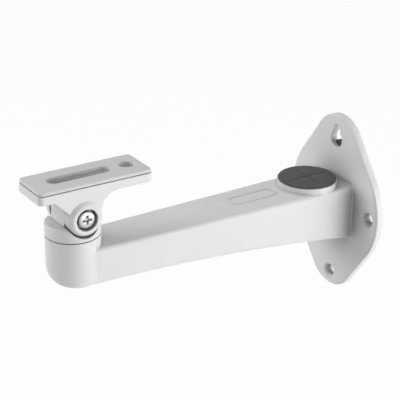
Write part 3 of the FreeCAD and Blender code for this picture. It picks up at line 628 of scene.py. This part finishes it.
def markSharpEdges(made, width):
    # only edges with room for the rounding at both ends are rounded
    weight = made.edges.layers.float.new("bevel_weight_edge")
    for edge in made.edges:
        if len(edge.link_faces) != 2 or edge.calc_face_angle(0.0) < math.radians(softEdge["sharpFrom"]):
            continue
        beside = [other.calc_length() for end in edge.verts for other in end.link_edges if other != edge]
        if min(beside) > width * softEdge["room"]:
            edge[weight] = 1.0


def softenPiece(name, values):
    width = values["round"] / 1000.0
    mesh = nodes[values["node"]].data.copy()
    mesh.name = name
    made = bmesh.new()
    made.from_mesh(mesh)
    bmesh.ops.remove_doubles(made, verts=made.verts, dist=softEdge["mergeWithin"])
    bmesh.ops.dissolve_limit(made, angle_limit=math.radians(softEdge["flatWithin"]), verts=made.verts,
                             edges=made.edges)
    markSharpEdges(made, width)
    made.to_mesh(mesh)
    made.free()
    piece = showMesh(name, mesh, values["finish"])
    smoothMesh(mesh, softEdge["shadeFrom"])
    addBevel(piece, width, softEdge["sharpFrom"], softEdge["segments"])
    piece.modifiers["rounding"].limit_method = "WEIGHT"
    even = piece.modifiers.new("evenShading", "WEIGHTED_NORMAL")
    even.keep_sharp = True
    bakeModifiers(piece)
    ridePiece(piece, values["node"], values["body"])


for softName, softValues in softPieces.items():
    softenPiece(softName, softValues)
print("softened:", ", ".join(softPieces))


# screws, nut and the ring in the seam, sizes in mm
# the black nylon washer reaches nearly to the seam's outer edge: partly the real washer, partly a dark ring that
# paints the seam's shade
seamRing = {
    "node": "pan_friction_washer",
    "place": (0.0, -242.0, 29.9),
    "outer": 19.65,
    "inner": 4.3,
    "thick": 0.6,
    "edge": 0.1,
    "sharpFrom": 50.0,
    "steps": 96,
}


def makeSeamRing():
    outer, inner, thick, edge = seamRing["outer"], seamRing["inner"], seamRing["thick"], seamRing["edge"]
    profile = [(inner, 0.0), (outer - edge, 0.0), (outer, edge), (outer, thick - edge), (outer - edge, thick),
               (inner, thick)]
    piece = showMesh("seamRing", latheMesh("seamRing", profile, seamRing["steps"]), "black_nylon")
    placeMesh(piece.data, seamRing["place"])
    smoothMesh(piece.data, seamRing["sharpFrom"])
    ridePiece(piece, seamRing["node"], "arm")


metalWork = {  # what the screws and the nut share
    "edge": 0.12,
    "edgeFrom": 35.0,  # degrees, as is the next
    "shadeFrom": 40.0,
    "shankSteps": 32,
    "rowsPerTurn": 6,
    "into": 0.2,  # how far a shank reaches into its head
    "spare": 0.02,  # left past a hexagon's corners for the cuts of its flats
}


def threadRows(radius, low, high, pitch):
    # levels along a shank, a few for each turn of its thread
    count = max(2, int(round((high - low) / pitch * metalWork["rowsPerTurn"])))
    return [(radius, low + (high - low) * row / count) for row in range(count + 1)]


panScrew = {
    "node": "pan_screw",
    "place": (0.0, -242.0, 16.3),  # under the head
    "shankRadius": 4.0,
    "shankLength": 24.7,
    "tip": 0.6,
    "pitch": 1.25,
    "depth": 0.62,
    "threadFrom": 4.0,
    "headThick": 5.3,
    "headAcross": 13.0,
    "headFace": 0.475,  # radius of the head's round face, as a share of the width across flats
    "headBevel": 30.0,  # slope of the corners, from the head's face
    "headFoot": 0.5,
    "headSeat": 0.3,  # how far the ring under the head reaches past the radius of that face
    "neck": 0.4,
    "steps": 48,
}


def cutHexagon(piece, across):
    # six blocks beside the flats are cut away
    setInputs(piece, cutRound, {
        "Count": 6,
        "Block Size": (across, across * 2.0, across * 4.0),
        "Block Middle": (across, 0.0, 0.0),
        "Finish": finishes["bright_steel"],
    })
    bakeModifiers(piece)


def cutThread(piece, values, start, end):
    setInputs(piece, screwThread, {
        "Pitch": values["pitch"],
        "Depth": values["depth"],
        "Thread Start": start,
        "Thread End": end,
        "Shank Radius": values["shankRadius"],
        "Finish": finishes["bright_steel"],
    })
    bakeModifiers(piece)


def joinPieces(keep, other):
    made = bmesh.new()
    made.from_mesh(keep.data)
    made.from_mesh(other.data)
    made.to_mesh(keep.data)
    made.free()
    old = other.data
    bpy.data.objects.remove(other)
    bpy.data.meshes.remove(old)


def makePanScrew():
    values = panScrew
    corner = values["headAcross"] / math.sqrt(3.0)
    face = values["headAcross"] * values["headFace"]
    drop = (corner - face) * math.tan(math.radians(values["headBevel"]))
    thick, foot = values["headThick"], values["headFoot"]
    wide, seat = corner + metalWork["spare"], face + values["headSeat"]
    profile = [(0.0, -thick), (face, -thick), (wide, -thick + drop), (wide, -foot), (seat, -foot), (seat, 0.0),
               (0.0, 0.0)]
    head = showMesh("panScrewHead", latheMesh("panScrewHead", profile, values["steps"]), "bright_steel")
    cutHexagon(head, values["headAcross"])
    addBevel(head, metalWork["edge"], metalWork["edgeFrom"])
    bakeModifiers(head)
    radius, length, tip = values["shankRadius"], values["shankLength"], values["tip"]
    profile = [(0.0, -metalWork["into"]), (radius - values["neck"], -metalWork["into"])]
    profile += threadRows(radius, 0.0, length - tip, values["pitch"])
    profile += [(radius - tip, length), (0.0, length)]
    screw = showMesh("panScrew", latheMesh("panScrew", profile, metalWork["shankSteps"]), "bright_steel")
    cutThread(screw, values, values["threadFrom"], length - tip * 0.5)
    joinPieces(screw, head)
    placeMesh(screw.data, values["place"])
    weldMesh(screw.data)
    smoothMesh(screw.data, metalWork["shadeFrom"])
    ridePiece(screw, values["node"], "swivel")


tiltScrew = {
    "node": "tilt_screw",
    "place": (0.0, -240.4, 46.85),
    "headLevel": 16.5,  # under the head, along X
    "headRadius": 6.3,
    "headThick": 3.8,
    "headCrown": 1.4,
    "headRim": 2.2,  # width of the rounded rim, as a share of the crown
    "shankRadius": 3.0,
    "end": -20.1,
    "tip": 0.6,
    "pitch": 1.0,
    "depth": 0.5,
    "threadTo": 10.0,
    "recessReach": 3.922,  # at the cutter's top, a little over the head
    "recessWide": 2.014,
    "recessDeep": 2.7,
    "recessTaper": 0.62,
    "recessRise": 0.3,
    "crownSteps": 6,
    "crownDrop": 0.05,
    "foot": 0.3,
    "steps": 64,
}


def crossPrism(name, reach, wide, top, low, taper):
    # outline of a cross, drawn in towards its floor
    half = wide / 2.0
    corners = [(reach, -half), (reach, half), (half, half), (half, reach), (-half, reach), (-half, half),
               (-reach, half), (-reach, -half), (-half, -half), (-half, -reach), (half, -reach), (half, -half)]
    made = bmesh.new()
    upper = [made.verts.new((x, y, top)) for x, y in corners]
    lower = [made.verts.new((x * taper, y * taper, low)) for x, y in corners]
    made.faces.new(upper)
    made.faces.new(lower[::-1])
    for step in range(len(corners)):
        after = (step + 1) % len(corners)
        made.faces.new([lower[step], lower[after], upper[after], upper[step]])
    bmesh.ops.recalc_face_normals(made, faces=made.faces)
    mesh = bpy.data.meshes.new(name)
    made.to_mesh(mesh)
    made.free()
    return mesh


def makeTiltScrew():
    values = tiltScrew
    level, wide, foot = values["headLevel"], values["headRadius"], values["foot"]
    end = level + values["headThick"]
    inner = wide - values["headCrown"] * values["headRim"]
    upper = end - values["crownDrop"]
    fall = values["headCrown"] - values["crownDrop"]
    profile = [(0.0, end), (inner, upper)]
    for turn in range(1, values["crownSteps"] + 1):
        angle = math.pi / 2.0 * turn / values["crownSteps"]
        profile.append((inner + (wide - inner) * math.sin(angle), upper - fall * (1.0 - math.cos(angle))))
    profile += [(wide, level + foot), (wide - foot, level), (0.0, level)]
    head = showMesh("tiltScrewHead", latheMesh("tiltScrewHead", profile, values["steps"]), "bright_steel")
    cutter = bpy.data.objects.new("crossCutter", crossPrism(
        "crossCutter", values["recessReach"], values["recessWide"], end + values["recessRise"],
        end - values["recessDeep"], values["recessTaper"]))
    bpy.context.collection.objects.link(cutter)
    recess = head.modifiers.new("crossRecess", "BOOLEAN")
    recess.operation = "DIFFERENCE"
    recess.solver = "EXACT"
    recess.object = cutter
    bakeModifiers(head)
    cutterMesh = cutter.data
    bpy.data.objects.remove(cutter)
    bpy.data.meshes.remove(cutterMesh)
    addBevel(head, metalWork["edge"], metalWork["edgeFrom"])
    bakeModifiers(head)
    radius, low, tip = values["shankRadius"], values["end"], values["tip"]
    high = level + metalWork["into"]
    profile = [(0.0, low), (radius - tip, low)]
    profile += threadRows(radius, low + tip, high, values["pitch"])
    profile += [(0.0, high)]
    screw = showMesh("tiltScrew", latheMesh("tiltScrew", profile, metalWork["shankSteps"]), "bright_steel")
    cutThread(screw, values, low + tip * 0.5, values["threadTo"])
    joinPieces(screw, head)
    placeMesh(screw.data, values["place"], True)
    smoothMesh(screw.data, metalWork["shadeFrom"])
    ridePiece(screw, values["node"], "head")


tiltNut = {
    "node": "tilt_nut",
    "place": (0.0, -240.4, 46.85),
    "level": -20.1,
    "thick": 5.0,
    "across": 10.0,
    "face": 0.475,  # radius of its round faces, as a share of the width across flats
    "bevel": 30.0,
    "hole": 3.05,
    "holeEdge": 0.4,
    "edge": 0.1,
    "steps": 48,
}


def makeTiltNut():
    values = tiltNut
    low, high = values["level"], values["level"] + values["thick"]
    corner = values["across"] / math.sqrt(3.0) + metalWork["spare"]
    face = values["across"] * values["face"]
    drop = (corner - face) * math.tan(math.radians(values["bevel"]))
    hole, edge = values["hole"], values["holeEdge"]
    profile = [(hole, low + edge), (hole + edge, low), (face, low), (corner, low + drop), (corner, high - drop),
               (face, high), (hole + edge, high), (hole, high - edge)]
    nut = showMesh("tiltNut", latheMesh("tiltNut", profile, values["steps"]), "bright_steel")
    cutHexagon(nut, values["across"])
    addBevel(nut, values["edge"], metalWork["edgeFrom"])
    bakeModifiers(nut)
    placeMesh(nut.data, values["place"], True)
    smoothMesh(nut.data, metalWork["shadeFrom"])
    ridePiece(nut, values["node"], "head")


makeSeamRing()
makePanScrew()
makeTiltScrew()
makeTiltNut()
print("seam ring, screws and nut made")


# floor, backdrop and light, sizes in metres and power in watts
studio = {
    "floorDrop": 0.35,  # below the wall plate's lower end
    "floorSize": 12.0,
    "floorTone": (0.88, 0.88, 0.88),
    "floorDrift": 0.02,  # paler patches of the paper
    "floorGrain": 3.0,
    "floorRough": 0.9,
    "shownWhite": 0.97,  # share of plain white that the camera sees on the floor
    "ambient": 0.0,
}
lamps = {  # side is the angle round from the bracket's front to its right, rise the angle above the level
    "wallKey": {"side": 122.0, "rise": 0.0, "away": 1.6, "wide": 2.4, "high": 1.0, "power": 28.3},
    "leftFill": {"side": 320.0, "rise": 30.0, "away": 1.6, "wide": 1.2, "high": 1.2, "power": 13.2},
    "frontFill": {"side": 340.0, "rise": 8.0, "away": 1.6, "wide": 1.2, "high": 1.2, "power": 3.9},
    "overhead": {"side": 0.0, "rise": 88.0, "away": 1.6, "wide": 2.4, "high": 2.4, "power": 15.2},
}
lampAim = Vector((0.0, -0.13, 0.0))


def whiteToCamera(tree, shown):
    # the share of plain white for rays from the camera, and for those that gloss and glass send on
    path = tree.nodes.new("ShaderNodeLightPath")
    both = tree.nodes.new("ShaderNodeMath")
    both.operation = "MAXIMUM"
    every = tree.nodes.new("ShaderNodeMath")
    every.operation = "MAXIMUM"
    share = tree.nodes.new("ShaderNodeMath")
    share.operation = "MULTIPLY"
    share.inputs[1].default_value = shown
    tree.links.new(path.outputs["Is Camera Ray"], both.inputs[0])
    tree.links.new(path.outputs["Is Glossy Ray"], both.inputs[1])
    tree.links.new(both.outputs[0], every.inputs[0])
    tree.links.new(path.outputs["Is Transmission Ray"], every.inputs[1])
    tree.links.new(every.outputs[0], share.inputs[0])
    return share.outputs[0]


def makeFloor():
    half = studio["floorSize"] / 2
    low = cadBox[0][2] - studio["floorDrop"]
    mesh = bpy.data.meshes.new("studioFloor")
    mesh.from_pydata([(-half, -half, low), (half, -half, low), (half, half, low), (-half, half, low)], [],
                     [(0, 1, 2, 3)])
    floor = bpy.data.objects.new("studioFloor", mesh)
    bpy.context.collection.objects.link(floor)
    material, tree, shader, place = startMaterial("floorPaper")
    shader.inputs["Roughness"].default_value = studio["floorRough"]
    shader.inputs["Specular IOR Level"].default_value = 0.0
    grain = addNoise(tree, place, studio["floorGrain"])
    paler = tuple(tone + studio["floorDrift"] for tone in studio["floorTone"])
    tree.links.new(addColours(tree, grain, studio["floorTone"], paler), shader.inputs["Base Color"])
    glow = tree.nodes.new("ShaderNodeEmission")
    mix = tree.nodes.new("ShaderNodeMixShader")
    tree.links.new(whiteToCamera(tree, studio["shownWhite"]), mix.inputs["Fac"])
    tree.links.new(shader.outputs["BSDF"], mix.inputs[1])
    tree.links.new(glow.outputs["Emission"], mix.inputs[2])
    tree.links.new(mix.outputs["Shader"], tree.nodes["Material Output"].inputs["Surface"])
    mesh.materials.append(material)


def makeWorld():
    world = bpy.data.worlds.new("studioWorld")
    bpy.context.scene.world = world
    world.use_nodes = True
    tree = world.node_tree
    light = tree.nodes["Background"]
    light.inputs["Color"].default_value = (1.0, 1.0, 1.0, 1.0)
    light.inputs["Strength"].default_value = studio["ambient"]
    shown = tree.nodes.new("ShaderNodeBackground")
    mix = tree.nodes.new("ShaderNodeMixShader")
    tree.links.new(whiteToCamera(tree, 1.0), mix.inputs["Fac"])
    tree.links.new(light.outputs["Background"], mix.inputs[1])
    tree.links.new(shown.outputs["Background"], mix.inputs[2])
    tree.links.new(mix.outputs["Shader"], tree.nodes["World Output"].inputs["Surface"])


def makeLamp(name, values):
    side = math.radians(values["side"])
    rise = math.radians(values["rise"])
    outward = Vector((math.sin(side) * math.cos(rise), -math.cos(side) * math.cos(rise), math.sin(rise)))
    lamp = bpy.data.lights.new(name, "AREA")
    lamp.shape = "RECTANGLE"
    lamp.size = values["wide"]
    lamp.size_y = values["high"]
    lamp.energy = values["power"]
    holder = bpy.data.objects.new(name, lamp)
    holder.location = lampAim + outward * values["away"]
    holder.rotation_euler = outward.to_track_quat("Z", "Y").to_euler()
    bpy.context.collection.objects.link(holder)


makeFloor()
makeWorld()
for lampName, lampValues in lamps.items():
    makeLamp(lampName, lampValues)
print("studio ready:", ", ".join(lamps))


# camera at the photo's own viewing angle: place in metres, angles in degrees, lens and sensor in mm
photoCamera = {
    "place": (0.71408, -0.59962, 0.40603),
    "azimuth": 56.943,
    "elevation": 23.784,
    "roll": 0.666,
    "lens": 111.74,
    "sensor": 36.0,
}


def makeCamera():
    side = math.radians(photoCamera["azimuth"])
    rise = math.radians(photoCamera["elevation"])
    roll = math.radians(photoCamera["roll"])
    back = Vector((math.sin(side) * math.cos(rise), -math.cos(side) * math.cos(rise), math.sin(rise)))
    right = Vector((math.cos(side), math.sin(side), 0.0))
    up = back.cross(right)
    rolledRight = right * math.cos(roll) + up * math.sin(roll)
    rolledUp = up * math.cos(roll) - right * math.sin(roll)
    camera = bpy.data.cameras.new("photoCamera")
    camera.lens = photoCamera["lens"]
    camera.sensor_width = photoCamera["sensor"]
    camera.sensor_fit = "HORIZONTAL"
    holder = bpy.data.objects.new("photoCamera", camera)
    turn = Matrix((rolledRight, rolledUp, back)).transposed()
    holder.matrix_world = Matrix.Translation(photoCamera["place"]) @ turn.to_4x4()
    bpy.context.collection.objects.link(holder)
    bpy.context.scene.camera = holder


makeCamera()
bpy.context.scene.view_settings.view_transform = "Standard"
